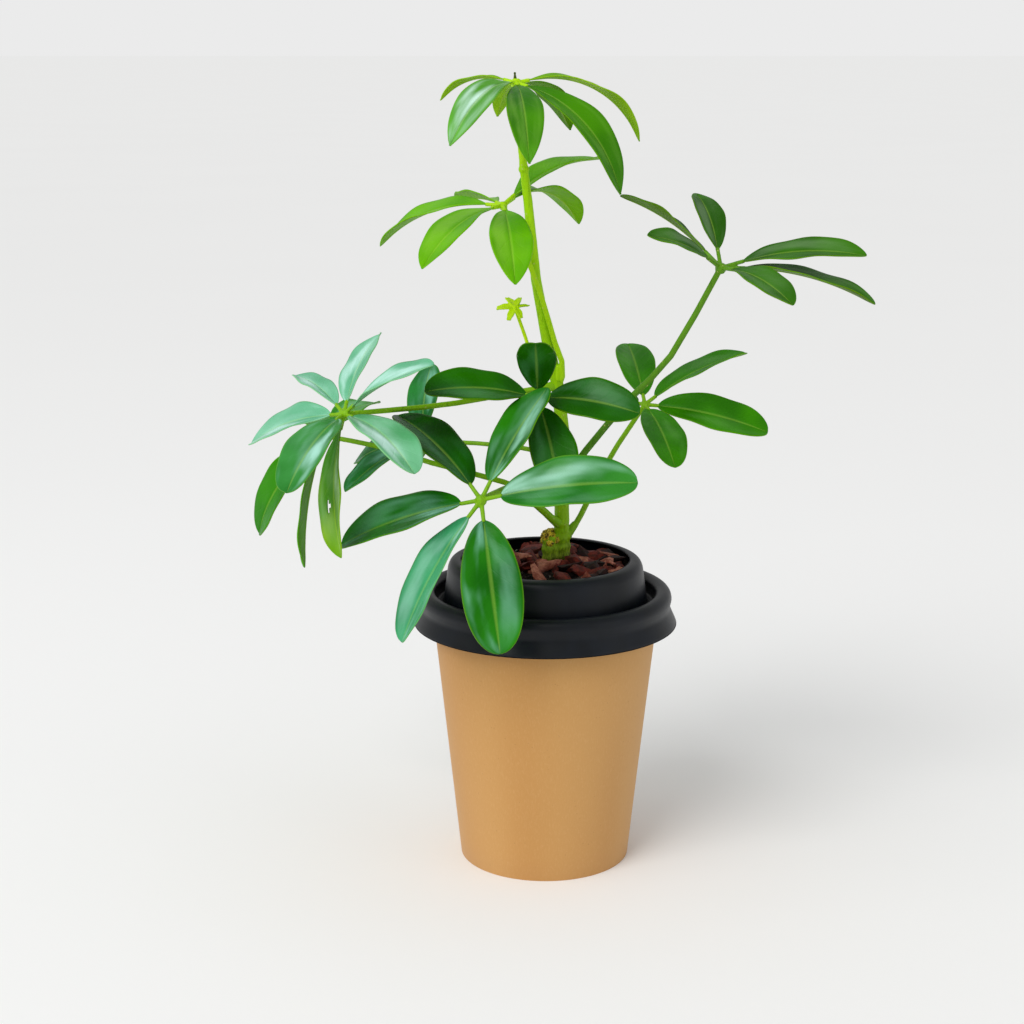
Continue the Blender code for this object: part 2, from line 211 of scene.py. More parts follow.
def outlineOf(nodeName):
    # the closed outline where the node crosses the half plane y = 0, x >= 0
    bm = weldedCopy(nodeName)
    away = [v for v in bm.verts if abs(v.co.y) > 0.01 * mm or v.co.x < -0.01 * mm]
    bmesh.ops.delete(bm, geom=away, context="VERTS")
    bmesh.ops.delete(bm, geom=bm.faces[:], context="FACES_ONLY")
    return bm


def turn(bm):
    bmesh.ops.spin(bm, geom=bm.verts[:] + bm.edges[:], cent=(0, 0, 0), axis=up, dvec=(0, 0, 0),
                   angle=math.tau, steps=turning["steps"], use_merge=True, use_duplicate=False)
    bmesh.ops.remove_doubles(bm, verts=bm.verts, dist=0.01 * mm)
    bmesh.ops.recalc_face_normals(bm, faces=bm.faces)


def soften(bm, offset, segments=3):
    bmesh.ops.bevel(bm, geom=bm.verts[:], offset=offset, segments=segments, profile=0.5,
                    affect="VERTICES", material=-1)


def kraftFinish(name, lighter=0.0):
    f = Finish(name, Specular_IOR_Level=0.25, Sheen_Weight=0.12, Sheen_Roughness=0.6)
    fibres = f.noise(0.45, 6, (1, 1, 0.3), 0.6, 0.4)
    crossed = f.noise(0.4, 4, (0.35, 0.35, 1), 0.6)
    clouds = f.noise(26, 1, (1, 1, 0.12), 0.4)
    specks = f.cells(1.7)
    rare = f.noise(4, 2)
    base = f.mix(clouds.within(0.25, 0.75), tint("bf8c4e"), tint("c9995b"))
    base = f.mix(fibres.within(0.45, 0.8) * 0.18, base, tint("dfb684"))
    base = f.mix(crossed.within(0.55, 0.85) * 0.22, base, tint("ad7a46"))
    dots = specks.within(0.16, 0.05) * rare.within(0.52, 0.6)
    base = f.mix(dots * 0.35, base, tint("8d6136"))
    relief = fibres * 0.6 + crossed * 0.4
    return f.finish(base, fibres * 0.12 + 0.7 - lighter, relief, 0.03)


def lidFinish():
    f = Finish("satinBlackPlastic", Specular_IOR_Level=0.3, IOR=1.45)
    grain = f.noise(0.35, 2)
    clouds = f.noise(9, 3)
    dust = f.cells(2.2).within(0.07, 0.02) * f.noise(6, 1).within(0.55, 0.62)
    rubbed = f.noise(2.2, 5, (1, 1, 4), 0.7).within(0.56, 0.8)
    base = f.mix(clouds.within(0.3, 0.7), tint("04090f"), tint("091019"))
    base = f.mix(dust * 0.35, base, tint("4d5256"))
    rough = clouds * 0.10 + 0.36 + rubbed * 0.10
    return f.finish(base, rough, grain * 0.5 + clouds, 0.02)


def buildCup():
    bm = outlineOf("cup_wall")
    soften(bm, 0.09 * mm, 2)
    tall = max(v.co.z for v in bm.verts)
    bmesh.ops.subdivide_edges(bm, edges=[e for e in bm.edges if e.calc_length() > 20 * mm], cuts=9)
    turn(bm)
    for v in bm.verts:
        outward = Vector((v.co.x, v.co.y, 0)).normalized()
        round_ = Vector((outward.x * 30, outward.y * 30, v.co.z * 400))
        wave = noise.noise(round_ * 0.03) * 0.08
        past = (math.degrees(math.atan2(v.co.y, v.co.x)) - turning["seamAngle"]) % 360
        seam = max(0.0, 1 - past / turning["seamWidth"]) ** 0.35 if past < turning["seamWidth"] else 0
        edge = min(1.0, max(0.0, (tall - 4 * mm - v.co.z) / (3 * mm)))
        v.co += outward * (wave + seam * turning["seamStep"]) * mm * edge
    wall = keep(bm, "kraft_cup", kraftFinish("kraftPaper"))
    take(wall, "kraft_paper", "cup_wall")
    bm = outlineOf("cup_base")
    soften(bm, 0.1 * mm, 2)
    turn(bm)
    base = keep(bm, "kraft_cup_base", kraftFinish("kraftPaperInside", 0.02))
    take(base, "kraft_paper", "cup_base")


lidMake = {"round": 0.75, "crease": 6.0, "creaseIn": 0.75, "dimpleAngle": -17.0, "dimple": 2.6}


def buildLid():
    bm = outlineOf("lid")
    top = max(v.co.z for v in bm.verts if v.co.x > 38.5 * mm)
    for v in bm.verts:
        low = abs(top - lidMake["crease"] * mm - v.co.z)
        if v.co.x > 38.5 * mm and low < 1.2 * mm:
            v.co.x -= lidMake["creaseIn"] * mm  # a crease runs round the skirt
    soften(bm, lidMake["round"] * mm, 4)
    longOnes = [e for e in bm.edges if e.calc_length() > 2.5 * mm]
    bmesh.ops.subdivide_edges(bm, edges=longOnes, cuts=3)
    turn(bm)
    wallX = 37.0 * mm
    angle = math.radians(lidMake["dimpleAngle"])
    outward = Vector((math.cos(angle), math.sin(angle), 0))
    centre = outward * wallX + up * (top - 3.0 * mm)
    for v in bm.verts:
        far = (v.co - centre).length / (lidMake["dimple"] * mm)
        if far < 1.0:
            v.co += outward * (1 - far * far) ** 2 * 1.0 * mm
    lid = keep(bm, "takeaway_lid", lidFinish())
    take(lid, "black_plastic", "lid")


buildCup()
buildLid()
print("cup and lid turned")


# ---- potting mix: a dark bed, bark chips and small granules

mixMake = {
    "chips": 120, "chipLong": (7.0, 15.0), "granules": 3400, "granule": (0.4, 1.3),
    "perlite": 130, "roughBed": 0.8,
}


def soilFinish(name, deep, light, fleck, size):
    f = Finish(name, Specular_IOR_Level=0.3)
    patches = f.noise(size, 4, rough=0.65)
    fine = f.noise(size * 0.22, 5, rough=0.7)
    ridges = f.noise(size * 0.5, 4, (3.5, 0.8, 3.5), 0.7, 1.2)
    base = f.mix(patches.within(0.35, 0.65), tint(deep), tint(light))
    base = f.mix(ridges.within(0.5, 0.72) * 0.55, base, tint(deep))
    base = f.mix(fine.within(0.62, 0.74) * 0.5, base, tint(fleck))
    return f.finish(base, fine * 0.3 + 0.55, ridges + fine * 0.5, 0.5)


def buildBed():
    bm = outlineOf("potting_mix")
    axis = [v for v in bm.verts if v.co.x < 0.1 * mm]
    bmesh.ops.delete(bm, geom=[e for e in bm.edges if all(v in axis for v in e.verts)], context="EDGES")
    longOnes = [e for e in bm.edges if e.calc_length() > 3 * mm]
    bmesh.ops.subdivide_edges(bm, edges=longOnes, cuts=7)
    turn(bm)
    rim = max(v.co.z for v in bm.verts) - 3.5 * mm
    for v in bm.verts:
        if v.co.z > rim:
            rise = noise.noise(v.co * 260) + 0.5 * noise.noise(v.co * 700)
            v.co.z += (rise * mixMake["roughBed"] - 0.6) * mm
    bed = keep(bm, "soil_bed", soilFinish("darkSoil", "140c0a", "2c1a14", "4a3426", 3.0))
    take(bed, "bark_mix", "potting_mix")
    return bed


def scatter(shapes, spots):
    # one bmesh with a copy of one of the small closed shapes at each matrix
    bm = bmesh.new()
    for i, spot in enumerate(spots):
        copy = shapes[i % len(shapes)].copy()
        copy.transform(spot)
        bm.from_mesh(copy)
        bpy.data.meshes.remove(copy)
    return bm


def chipShape():
    bm = bmesh.new()
    for i in range(15):
        spot = Vector([random.uniform(-1, 1) for axis in range(3)])
        spot = spot.normalized() * random.uniform(0.75, 1.0)
        bm.verts.new((spot.x, spot.y, max(-0.75, min(0.75, spot.z * 1.2))))
    made = bmesh.ops.convex_hull(bm, input=bm.verts)
    bmesh.ops.delete(bm, geom=[g for g in made["geom_interior"] if g.is_valid], context="VERTS")
    return meshOf(bm)


def grainShape():
    bm = bmesh.new()
    bmesh.ops.create_icosphere(bm, subdivisions=1, radius=1.0)
    for v in bm.verts:
        v.co *= random.uniform(0.75, 1.15)
    return meshOf(bm)


def meshOf(bm):
    mesh = bpy.data.meshes.new("shape")
    bm.to_mesh(mesh)
    bm.free()
    return mesh


def buildMix():
    bed = buildBed()
    tree = BVHTree.FromObject(bed, bpy.context.evaluated_depsgraph_get())
    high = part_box("lid")[1]
    roots = [v.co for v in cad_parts["main_stem"].data.vertices]
    rootZ = min(co.z for co in roots) + 0.5 * mm
    roots = [Vector((co.x, co.y, 0)) for co in roots if co.z < rootZ]
    stemAt = sum(roots, Vector()) / len(roots)
    reach = min(v.co.xy.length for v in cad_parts["lid"].data.vertices) + 1.0 * mm

    def ground(x, y):
        hit = tree.ray_cast(Vector((x, y, high.z + 5 * mm)), -up)[0]
        return hit.z if hit else high.z - 4 * mm

    def spread(count, sizes, flat, lift, outer, chipsOnly=False):
        spots = []
        while len(spots) < count:
            radius = outer * math.sqrt(random.random())
            angle = random.uniform(0, math.tau)
            x, y = radius * math.cos(angle), radius * math.sin(angle)
            if chipsOnly and y < reach * random.uniform(-0.75, 0.0):
                continue
            size = random.uniform(*sizes) * mm / 2
            if (Vector((x, y, 0)) - stemAt).length < size * 0.6 + 3.2 * mm:
                continue
            turned = Matrix.Rotation(random.uniform(0, math.tau), 4, "Z")
            tilt = Matrix.Rotation(random.gauss(0, 0.35), 4, "X") @ Matrix.Rotation(random.gauss(0, 0.35), 4, "Y")
            wide = random.uniform(0.5, 0.85)
            shape = Matrix.Diagonal((size, size * wide, size * flat * random.uniform(0.7, 1.3), 1))
            here = Matrix.Translation((x, y, ground(x, y) + size * flat * lift))
            spots.append(here @ turned @ tilt @ shape)
        return spots

    random.seed(7)
    tones = {
        "bark_chips_red": ("440f08", "822a1c", "c88674", 0.42),
        "bark_chips_dark": ("180808", "3a130f", "6a382c", 0.34),
        "bark_chips_pale": ("88402e", "c47c68", "f4ccba", 0.24),
    }
    chipShapes = [chipShape() for i in range(12)]
    grainShapes = [grainShape() for i in range(6)]
    for name, (deep, light, fleck, share) in tones.items():
        count = int(mixMake["chips"] * share)
        bm = scatter(chipShapes, spread(count, mixMake["chipLong"], 0.36, 0.8, reach - 3.5 * mm, True))
        chips = keep(bm, name, soilFinish(name + "_finish", deep, light, fleck, 2.4), smooth=False)
        take(chips, "bark_mix")
    bm = scatter(grainShapes, spread(mixMake["granules"], mixMake["granule"], 0.8, 0.5, reach))
    grains = keep(bm, "soil_granules", soilFinish("soilGranules", "0d0a09", "2b1d17", "5a4636", 1.2))
    take(grains, "bark_mix")
    bm = scatter(grainShapes, spread(mixMake["perlite"], mixMake["granule"], 0.8, 0.9, reach))
    pale = keep(bm, "perlite_grains", soilFinish("perlite", "8d857c", "cfc8bd", "ffffff", 0.6))
    take(pale, "bark_mix")


buildMix()
print("potting mix laid")


# ---- stem and stalks: grown together from the CAD solids

stemMake = {
    "voxel": 0.3, "grow": 0.16, "sheathLong": 5.0, "sheathWide": 1.75,
    "barkTop": 118.0, "ridge": 0.14,
}
woodyZ = stemMake["barkTop"] * mm


def stemFinish(name, young, mid, low):
    # green and ribbed above, passing to olive brown bark at the foot
    f = Finish(name, Specular_IOR_Level=0.15)
    z = f.heights()
    streaks = f.noise(0.9, 5, (1, 1, 0.12), 0.6, 0.4)
    patches = f.noise(6, 3, (1, 1, 0.5))
    cork = f.noise(1.1, 5, (1, 1, 0.6), 0.7, 0.8)
    high = (z + patches * 0.03).within(0.150, 0.215)
    colour = f.mix(high, tint(mid), tint(young))
    colour = f.mix(streaks.within(0.5, 0.75) * 0.5, colour, tint(low))
    pores = f.cells(2.3).within(0.17, 0.08) * 0.5
    colour = f.mix(pores, colour, tint("cdbd7c"))
    woody = (z + cork * 0.016).within(0.122, 0.106)
    bark = f.mix(cork.within(0.4, 0.62), tint("3c3414"), tint("7f7130"))
    bark = f.mix(streaks.within(0.5, 0.7) * 0.6, bark, tint("5c6a1e"))
    colour = f.mix(woody, colour, bark)
    relief = streaks * 0.5 + cork * woody
    return f.finish(colour, woody * 0.35 + 0.42, relief, 0.22)


def smoothCopy(bm, name, finish, voxel=None, ease=7):
    # one even skin over all that the bmesh holds; the skin is made at 1000 times the size,
    # because it takes minutes at cells of a fraction of a millimetre
    bmesh.ops.transform(bm, matrix=Matrix.Scale(1 / mm, 4), verts=bm.verts)
    piece = keep(bm, name, finish)
    remesh = piece.modifiers.new("Skin", "REMESH")
    remesh.mode = "VOXEL"
    remesh.voxel_size = voxel or stemMake["voxel"]
    smoother = piece.modifiers.new("Ease", "SMOOTH")
    smoother.factor = 0.5
    smoother.iterations = ease
    settle(piece)
    piece.data.transform(Matrix.Scale(mm, 4))
    return piece


def grown(nodeName):
    bm = weldedCopy(nodeName)
    bm.normal_update()
    for v in bm.verts:
        v.co += v.normal * stemMake["grow"] * mm
    return bm


stemCopy = weldedCopy("main_stem")
stemTree = BVHTree.FromBMesh(stemCopy)
joins = {}


def joinOf(nodeName):
    # where a stalk meets the stem, and the way it leaves
    bm = weldedCopy(nodeName)
    spots = [(stemTree.find_nearest(v.co)[3], v.co.copy()) for v in bm.verts]
    nearest = min(spots, key=lambda s: s[0])[1]
    foot = [co for gap, co in spots if gap < 0.45 * mm and (co - nearest).length < 6 * mm]
    start = sum(foot, Vector()) / len(foot)
    later = [co for gap, co in spots if 2 * mm < (co - start).length < 14 * mm]
    bm.free()
    return start, (sum(later, Vector()) / len(later) - start).normalized()


def addCone(bm, start, away, wide, narrow, depth):
    turned = away.to_track_quat("Z", "Y").to_matrix().to_4x4()
    spot = Matrix.Translation(start + away * depth / 2) @ turned
    bmesh.ops.create_cone(bm, cap_ends=True, segments=16, radius1=wide, radius2=narrow,
                          depth=depth, matrix=spot)


def addBall(bm, spot, radius, squash=(1, 1, 1)):
    here = Matrix.Translation(spot) @ Matrix.Diagonal((*squash, 1))
    bmesh.ops.create_icosphere(bm, subdivisions=2, radius=radius, matrix=here)


def buildStem(stalkNames):
    bm = grown("main_stem")
    for name in stalkNames:
        start, away = joins[name]
        inner, normal = stemTree.find_nearest(start)[:2]
        core = inner - normal * 1.5 * mm
        addBall(bm, core, 2.35 * mm if start.z < 0.15 else 1.9 * mm, (1, 1, 0.8))
    piece = smoothCopy(bm, "plant_stem", stemFinish("stemBark", "a2d800", "82b204", "4a7c06"))

    def bark(co):
        low = min(1.0, max(0.0, (woodyZ - co.z) / (10 * mm)))
        rough = noise.noise(Vector((co.x * 600, co.y * 600, co.z * 260)))
        rings = math.sin(co.z * 1900 + 3 * noise.noise(co * 90)) * 0.5
        return ((rough * 0.45 + rings * 0.3) * low + noise.noise(co * 700) * 0.05) * mm

    swell(piece, bark)
    take(piece, "green_stem", "main_stem")


def buildStalk(nodeName, leaf, finish):
    bm = grown(nodeName)
    start, away = joins[nodeName]
    thick = 1.35 * mm if start.z < 0.17 else 1.1 * mm
    inner = stemTree.find_nearest(start)[0]
    lead = (start - inner).normalized() if (start - inner).length > 1e-6 else away
    wide = thick * stemMake["sheathWide"] * 0.75
    addCone(bm, start - lead * 1.0 * mm, (away + lead * 0.2).normalized(), wide, thick * 0.9,
            stemMake["sheathLong"] * mm)
    piece = smoothCopy(bm, leaf + "_stalk_and_hub", finish, 0.22)
    take(piece, "green_stem", nodeName)


stalkNodes = sorted(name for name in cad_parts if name.endswith("_stalk"))
for stalkName in stalkNodes:
    joins[stalkName] = joinOf(stalkName)
limeStalk = stemFinish("limeStalk", "acdc08", "9ed004", "78b004")
greenStalk = stemFinish("greenStalk", "8cc010", "78ac12", "4c7c0c")
darkStalk = stemFinish("darkStalk", "5c9018", "4a7c14", "2e5a0c")
stalkFinishes = {"crown_leaf": limeStalk, "upper_leaf": limeStalk, "right_leaf": darkStalk}
buildStem(stalkNodes)
for stalkName in stalkNodes:
    leafName = stalkName[:-len("_stalk")]
    buildStalk(stalkName, leafName, stalkFinishes.get(leafName, greenStalk))
print("stem and stalks grown")


# ---- leaf blades

bladeMake = {"across": 18, "along": 40, "thick": 0.34, "groove": 0.28, "quilt": 0.07, "wave": 0.45,
             "shinyBelow": "centre_leaf_blade_2"}

# deep and light green, the painted reflection's colour and amount, how pointed the blade is, roughness
leafLooks = {
    "crown_leaf": ("2a6c00", "4c9600", "b4e86a", 0.30, 0.86, 0.30),
    "upper_leaf": ("4a9600", "70bc00", "c8f070", 0.16, 0.78, 0.34),
    "right_leaf": ("1e5000", "3c7c06", "9ab88c", 0.22, 0.62, 0.38),
    "middle_leaf": ("226600", "409402", "86bc6c", 0.16, 0.50, 0.34),
    "centre_leaf": ("124c00", "267202", "8ad8a0", 0.14, 0.52, 0.28),
    "front_leaf": ("0e5a04", "2a8612", "98dcc4", 0.85, 0.52, 0.26),
    # the left leaf's pale blue-green greens are partly its own green and partly painted reflection of the light
    "left_leaf": ("54a67a", "88ceaa", "ccf6ee", 0.90, 0.62, 0.28),
    "rear_leaf": ("1f7a08", "3c9a1a", "9ae0b4", 0.46, 0.62, 0.30),
    "inner_leaf": ("145e20", "2f8a3c", "98e0c8", 0.70, 0.66, 0.30),
    "young_leaf": ("b0e000", "d8f81e", "f2ff90", 0.10, 0.95, 0.40),
}
leafOdd = {
    "crown_leaf_leaflet_2": ("3a8410", "6ab83c", "dcfff0", 1.00, 0.86, 0.30),
    "crown_leaf_leaflet_1": ("5a9c04", "98c81c", "dcf080", 0.30, 0.86, 0.32),
    "crown_leaf_leaflet_6": ("5a9c04", "9ccc1c", "dcf080", 0.30, 0.86, 0.32),
    "crown_leaf_leaflet_3": ("6aac04", "a8d81c", "dcf080", 0.20, 0.86, 0.32),
    "front_leaf_leaflet_1": ("165c02", "2e8a10", "a8e8cc", 0.75, 0.56, 0.24),
    "front_leaf_leaflet_2": ("1a6a14", "3a8e30", "a0d8c0", 0.80, 0.50, 0.26),
    "front_leaf_leaflet_4": ("1e7c48", "4cac76", "c4f6ea", 1.00, 0.56, 0.26),
    "front_leaf_leaflet_6": ("0c3c00", "1a6204", "6ab08c", 0.20, 0.52, 0.24),
    "left_leaf_leaflet_5": ("1c6e18", "4aa050", "b0e8d8", 1.00, 0.44, 0.26),
    "left_leaf_leaflet_6": ("2f8008", "90bc0c", "c8f0b0", 0.60, 0.74, 0.30),
    # this leaflet's pale blue-green greens are partly painted reflection of the light
    "left_leaf_leaflet_7": ("4a9c60", "84cca0", "d4faf2", 1.00, 0.54, 0.28),
    "rear_leaf_leaflet_1": ("1a6c00", "388e00", "9adc78", 0.10, 0.56, 0.34),
}
leafFinishes = {}


def leafFinish(look, under):
    key = (look, under)
    if key in leafFinishes:
        return leafFinishes[key]
    deep, light, reflectionTint, reflectionAmount, roundness, rough = look
    f = Finish(f"leaf{len(leafFinishes) + 1}", Specular_IOR_Level=0.07, Coat_Roughness=0.2)
    spot = f.node("UVMap", {"uv_map": "blade"})
    side = f.node("SeparateXYZ", inputs={0: spot}, output="X")
    along = f.node("SeparateXYZ", inputs={0: spot}, output="Y")
    out = abs(side - 0.5) * 2
    wander = f.noise(7, 2) - 0.5
    midrib = (out + along * 0.035).within(0.12, 0.035)
    vein = abs((along * 8.0 - out ** 0.85 * 1.5 + wander * 0.5).fraction() - 0.5) * 2
    branch = vein.within(0.82, 1.0) * out.within(0.98, 0.55)
    small = f.cells(1.5, "DISTANCE_TO_EDGE").within(0.12, 0.02)
    broad = f.noise(15, 1).within(0.3, 0.7)
    fine = f.noise(1.3, 4)
    green = f.mix(broad * 0.6 + along * 0.2, tint(deep), tint(light))
    green = f.mix(fine.within(0.5, 0.8) * 0.08, green, tint(light))
    green = f.mix(branch * 0.07, green, tint(light))
    if under:
        # the underside is paler, as a real leaflet's is, and its brighter lime tint is painted light shining
        # through the blade
        green = f.mix(0.30, green, f.mix(0.5, tint(light), tint("a4b820")))
        colour = f.mix(midrib * 0.55 + branch * 0.12, green, tint("a8c848"))
        relief = midrib + branch * 0.4
        made = f.finish(colour, fine * 0.1 + 0.42, relief, 0.14)
    else:
        # painted reflection: pale streaks over the middle and one half of the upper side stand in for a glossy
        # reflection of the light; the coat weight follows them
        streak = f.node("CombineXYZ", inputs={0: side * 3.2, 1: along * 2.4, 2: f.heights() / (26 * mm)})
        gleam = f.node("TexNoise", inputs={"Vector": streak, "Scale": 1.0, "Detail": 2.0, "Roughness": 0.4})
        gleam = gleam.within(0.38, 0.74)
        half = side.within(0.40, 0.60) * 0.65 + 0.35
        paintedReflection = half * gleam * out.within(1.0, 0.72) * along.within(1.15, 0.45) * reflectionAmount
        green = f.mix(paintedReflection, green, tint(reflectionTint))
        green = f.mix(out.within(0.94, 1.0) * 0.45, green, f.mix(0.4, tint(light), tint("a8d000")))
        colour = f.mix(midrib * 0.34, green, f.mix(0.5, tint(light), tint("bfe060")))
        relief = 0 - midrib * 0.9 - branch * 0.32 - small * 0.1 + fine * 0.1
        made = f.finish(colour, fine * 0.05 + rough, relief, 0.14, coat=paintedReflection * 0.35 + 0.02)
    leafFinishes[key] = made
    return made


def ringsFrom(start):
    # walks from one ring of six corners to the next, as far as the rings go on
    rings, seen = [start], set(start)
    while True:
        following = {e.other_vert(v) for v in rings[-1] for e in v.link_edges} - seen
        if len(following) != 6:
            return rings
        rings.append(following)
        seen |= following


def spineOf(rings):
    # the middle line of a blade with its sideways and upward axes, half width and fold
    rows = []
    centres = [sum((v.co for v in ring), Vector()) / 6 for ring in rings]
    sideWas = None
    for i, ring in enumerate(rings):
        points = np.array([v.co for v in ring])
        axis = Vector(np.linalg.svd(points - points.mean(0))[2][0])
        if sideWas and axis.dot(sideWas) < 0:
            axis = -axis
        sideWas = axis
        order = sorted(ring, key=lambda v: v.co.dot(axis))
        right, middle, left = [(order[k].co + order[k + 1].co) / 2 for k in (0, 2, 4)]
        ahead = centres[min(i + 1, len(rings) - 1)] - centres[max(i - 1, 0)]
        side = (left - right).normalized()
        rows.append([middle, side, ahead.cross(side).normalized(), (left - right).length / 2, (left + right) / 2 - middle])
    if sum(row[4].dot(row[2]) for row in rows) < 0:
        for row in rows:
            row[2] = -row[2]
    return [(*row[0], *row[1], *row[2], row[3], row[4].dot(row[2])) for row in rows]


def between(rows, place):
    # reads the rows as a smooth curve, from 0 at the first to 1 at the last
    rows = np.asarray(rows)
    rows = np.vstack([rows[0] * 2 - rows[1], rows, rows[-1] * 2 - rows[-2]])
    t = place * (len(rows) - 3)
    i = min(int(t), len(rows) - 4)
    t -= i
    a, b, c, d = rows[i:i + 4]
    return b + ((c - a) * t + (2 * a - 5 * b + 4 * c - d) * t * t + (3 * b - a - 3 * c + d) * t ** 3) / 2


def bladeSpot(rows, half, place, across, roundness, phase):
    row = between(rows, place)
    middle, side, rise = Vector(row[:3]), Vector(row[3:6]).normalized(), Vector(row[6:9]).normalized()
    fold = row[10] / max(row[9], 1e-6)
    swell = max(0.0, 1 - (2 * place ** 1.1 - 1) ** 2) ** roundness
    reach = max(half * swell, (0.62 - 0.3 * place) * mm)
    v = abs(across)
    lift = fold * reach * v ** 1.25
    lift -= bladeMake["groove"] * mm * math.exp(-(v * reach / (0.55 * mm)) ** 2) * min(1, swell * 2)
    veins = (place * 8.0 - v ** 0.85 * 1.5) % 1.0
    lift += bladeMake["quilt"] * mm * math.cos(math.tau * veins) * v * (1 - v ** 3) * 2 * swell
    edge = math.sin(place * 8.5 + phase) + 0.5 * math.sin(place * 17 - phase * 2 + (across > 0) * 1.7)
    lift += bladeMake["wave"] * mm * edge * v ** 3 * swell * min(1.0, half / (6 * mm))
    shrink = 1 - 0.10 * v * v * fold
    return middle + side * across * reach * shrink + rise * lift


def buildBlade(name, rows, look, nodes=(), hole=False, slotName="mature_leaf"):
    rows = [list(row) for row in rows]
    back = Vector(rows[0][:3]) - Vector(rows[1][:3])
    for k, step in enumerate(back.normalized() * 0.7 * mm):
        rows[0][k] += step  # the blade's foot reaches its stalklet
    half = max(row[9] / (1 - (2 * (i / (len(rows) - 1)) ** 1.1 - 1) ** 2 + 1e-3) ** 0.72
               for i, row in enumerate(rows) if 1 < i < len(rows) - 1)
    bm = bmesh.new()
    layer = bm.loops.layers.uv.new("blade")
    bmesh.ops.create_grid(bm, x_segments=bladeMake["across"], y_segments=bladeMake["along"], size=1)
    phase = random.uniform(0, math.tau)
    for face in bm.faces:
        for loop in face.loops:
            loop[layer].uv = (loop.vert.co.x / 2 + 0.5, loop.vert.co.y / 2 + 0.5)
    if hole:
        middle = Vector((-0.35, 0.12, 0))
        near = [f for f in bm.faces if (f.calc_center_median() - middle).length < 0.075]
        bmesh.ops.delete(bm, geom=near, context="FACES")
    for v in bm.verts:
        place = v.co.y / 2 + 0.5
        place = 0.35 * place + 0.65 * (0.5 - 0.5 * math.cos(math.pi * place))
        v.co = bladeSpot(rows, half, place, v.co.x, look[4], phase)
    bmesh.ops.recalc_face_normals(bm, faces=bm.faces)
    rise = Vector(rows[len(rows) // 2][6:9])
    if sum((f.normal for f in bm.faces), Vector()).dot(rise) < 0:
        bmesh.ops.reverse_faces(bm, faces=bm.faces)
    piece = keep(bm, name, leafFinish(look, False), leafFinish(look, name != bladeMake["shinyBelow"]))
    skin = piece.modifiers.new("Thickness", "SOLIDIFY")
    skin.thickness = bladeMake["thick"] * mm
    skin.offset = 0
    skin.use_even_offset = True
    skin.material_offset = 1
    take(piece, slotName, *nodes)
    return piece


def leafletRows(nodeName, stalkTree):
    bm = weldedCopy(nodeName)
    first = min(bm.verts, key=lambda v: stalkTree.find(v.co)[2])
    start = sorted(bm.verts, key=lambda v: (v.co - first.co).length)[:6]
    rows = spineOf(ringsFrom(set(start)))
    bm.free()
    return rows


random.seed(21)
for stalkName in stalkNodes:
    leafName = stalkName[:-len("_stalk")]
    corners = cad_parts[stalkName].data.vertices
    stalkTree = KDTree(len(corners))
    for i, corner in enumerate(corners):
        stalkTree.insert(corner.co, i)
    stalkTree.balance()
    leaflets = sorted(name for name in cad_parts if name.startswith(leafName + "_leaflet_"))
    slotName = "young_leaf" if leafName in ("crown_leaf", "upper_leaf") else "mature_leaf"
    for nodeName in leaflets:
        look = leafOdd.get(nodeName, leafLooks[leafName])
        rows = leafletRows(nodeName, stalkTree)
        hole = nodeName == "left_leaf_leaflet_6"
        buildBlade(nodeName.replace("leaflet", "blade"), rows, look, (nodeName,), hole, slotName)
        if len(rows) != 8:
            print("rings of", nodeName, len(rows))


def capRings(nodeName):
    # the rings of each blade that is one piece with its stalk, from foot to tip
    bm = weldedCopy(nodeName)
    flat = bm.copy()
    bmesh.ops.dissolve_limit(flat, angle_limit=math.radians(0.3), verts=flat.verts, edges=flat.edges)
    caps = [[v.co.copy() for v in face.verts] for face in flat.faces if len(face.verts) == 6]
    flat.free()
    found = []
    for cap in caps:
        start = {min(bm.verts, key=lambda v: (v.co - corner).length) for corner in cap}
        rings = ringsFrom(start)[:7]
        if len(start) == 6 and len(rings) > 4 and isBlade(rings[3]):
            found.append(rings[::-1])
    return bm, found


def isBlade(ring):
    points = np.array([v.co for v in ring])
    spread = np.linalg.svd(points - points.mean(0))[1]
    return spread[0] > 1.6 * spread[1]


def buildWholeLeaf(nodeName, finish, voxel):
    # the stalk is kept from the CAD solid, and each of its blades is made anew
    bm, blades = capRings(nodeName)
    look = leafLooks[nodeName]
    spines = []
    for rings in blades:
        rows = [np.array(row) for row in spineOf(rings)]
        for missing in range(8 - len(rows)):
            foot = rows[0] * 2 - rows[1]
            foot[9] = max(foot[9], 0.3 * mm)
            rows.insert(0, foot)
        spines.append(rows)
    bmesh.ops.delete(bm, geom=list({v for rings in blades for ring in rings for v in ring}), context="VERTS")
    bmesh.ops.holes_fill(bm, edges=[e for e in bm.edges if e.is_boundary])
    bmesh.ops.recalc_face_normals(bm, faces=bm.faces)
    stalk = smoothCopy(bm, nodeName + "_stalk_and_hub", finish, voxel, 3)
    take(stalk, "green_stem", nodeName)
    for i, rows in enumerate(spines):
        slotName = "young_leaf" if nodeName == "young_leaf" else "mature_leaf"
        buildBlade(f"{nodeName}_blade_{i + 1}", rows, look, (nodeName,), slotName=slotName)
    print(nodeName, len(spines), "blades")


buildWholeLeaf("inner_leaf", greenStalk, 0.22)
buildWholeLeaf("young_leaf", stemFinish("sproutStalk", "c8ec10", "bce60c", "a0d010"), 0.16)
print("leaf blades made")


# ---- the callus on the cut shoot, and the growing tip

knotMake = {"lumps": 16, "spread": 2.3, "lump": (0.7, 1.7), "tip": 2.6}


